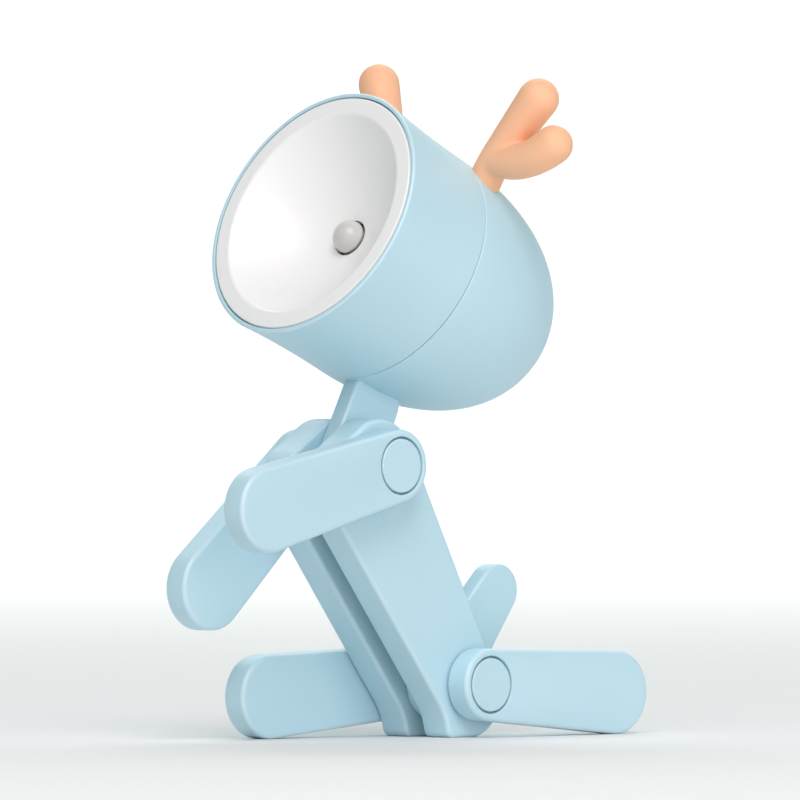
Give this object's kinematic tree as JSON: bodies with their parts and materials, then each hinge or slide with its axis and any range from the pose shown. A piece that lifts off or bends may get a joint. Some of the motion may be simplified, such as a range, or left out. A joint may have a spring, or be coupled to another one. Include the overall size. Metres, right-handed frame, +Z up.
{
  "type": "desk lamp",
  "caption": "Small battery desk lamp shaped like a sitting deer: a round head with a reflector and antlers on a flat neck, and flat body plates with folding legs and a tail.",
  "frame": {"origin": "on the floor under the lower pivot, midway between the body plates", "axes": "the deer faces -X, its left side is -Y, +Z is up"},
  "size_m": [0.1041, 0.0626, 0.1239],
  "materials": {
    "blue_plastic": "pale blue ABS with a fine satin grain",
    "white_plastic": "smooth white moulding",
    "peach_plastic": "soft-touch peach moulding",
    "lens_plastic": "milky diffusing lens",
    "friction_rubber": "pale elastomer",
    "screw_steel": "zinc-plated steel",
    "contact_brass": "bare brass",
    "cell_can": "bright can",
    "board_laminate": "green glass-fibre laminate"
  },
  "bodies": {
    "body": {"left_body_plate": "blue_plastic", "right_body_plate": "blue_plastic", "upper_pin_socket": "blue_plastic", "upper_pin_stud": "blue_plastic", "lower_pin_socket": "blue_plastic", "lower_pin_stud": "blue_plastic", "upper_friction_rings": "friction_rubber", "lower_friction_rings": "friction_rubber"},
    "left_front_leg": {"left_front_leg": "blue_plastic"},
    "right_front_leg": {"right_front_leg": "blue_plastic"},
    "left_hind_leg": {"left_hind_leg": "blue_plastic"},
    "right_hind_leg": {"right_hind_leg": "blue_plastic"},
    "tail": {"tail": "blue_plastic"},
    "head": {"neck": "blue_plastic", "neck_screws": "screw_steel", "rear_shell": "blue_plastic", "left_antler": "peach_plastic", "right_antler": "peach_plastic", "cell_holder": "white_plastic", "holder_screws": "screw_steel", "button_cells": "cell_can", "cell_spring": "screw_steel", "cell_contact": "contact_brass", "switch_contacts": "contact_brass"},
    "lamp_front": {"front_shell": "blue_plastic", "reflector": "white_plastic", "lamp_lens": "lens_plastic", "lamp_board": "board_laminate", "board_screws": "screw_steel"}
  },
  "joints": [
    {"name": "left_front_leg_swing", "type": "hinge", "parent": "body", "child": "left_front_leg", "pos_m": [-0.02296, 0, 0.04979], "axis": [0, -1, 0], "range_deg": [-50, 88]},
    {"name": "right_front_leg_swing", "type": "hinge", "parent": "body", "child": "right_front_leg", "pos_m": [-0.02296, 0, 0.04979], "axis": [0, -1, 0], "range_deg": [-75, 12]},
    {"name": "left_hind_leg_swing", "type": "hinge", "parent": "body", "child": "left_hind_leg", "pos_m": [0, 0, 0.0097], "axis": [0, 1, 0], "range_deg": [-105, 90]},
    {"name": "right_hind_leg_swing", "type": "hinge", "parent": "body", "child": "right_hind_leg", "pos_m": [0, 0, 0.0097], "axis": [0, -1, 0], "range_deg": [-18, 180]},
    {"name": "tail_swing", "type": "hinge", "parent": "body", "child": "tail", "pos_m": [0, 0, 0.0097], "axis": [0, 1, 0], "range_deg": [-70, 50]},
    {"name": "neck_tilt", "type": "hinge", "parent": "body", "child": "head", "pos_m": [-0.02296, 0, 0.04979], "axis": [0, -1, 0], "range_deg": [-40, 25]},
    {"name": "head_twist", "type": "hinge", "parent": "head", "child": "lamp_front", "pos_m": [-0.03215, 0, 0.09578], "axis": [0.9048, 0, -0.4258], "range_deg": [0, 40]}
  ]
}
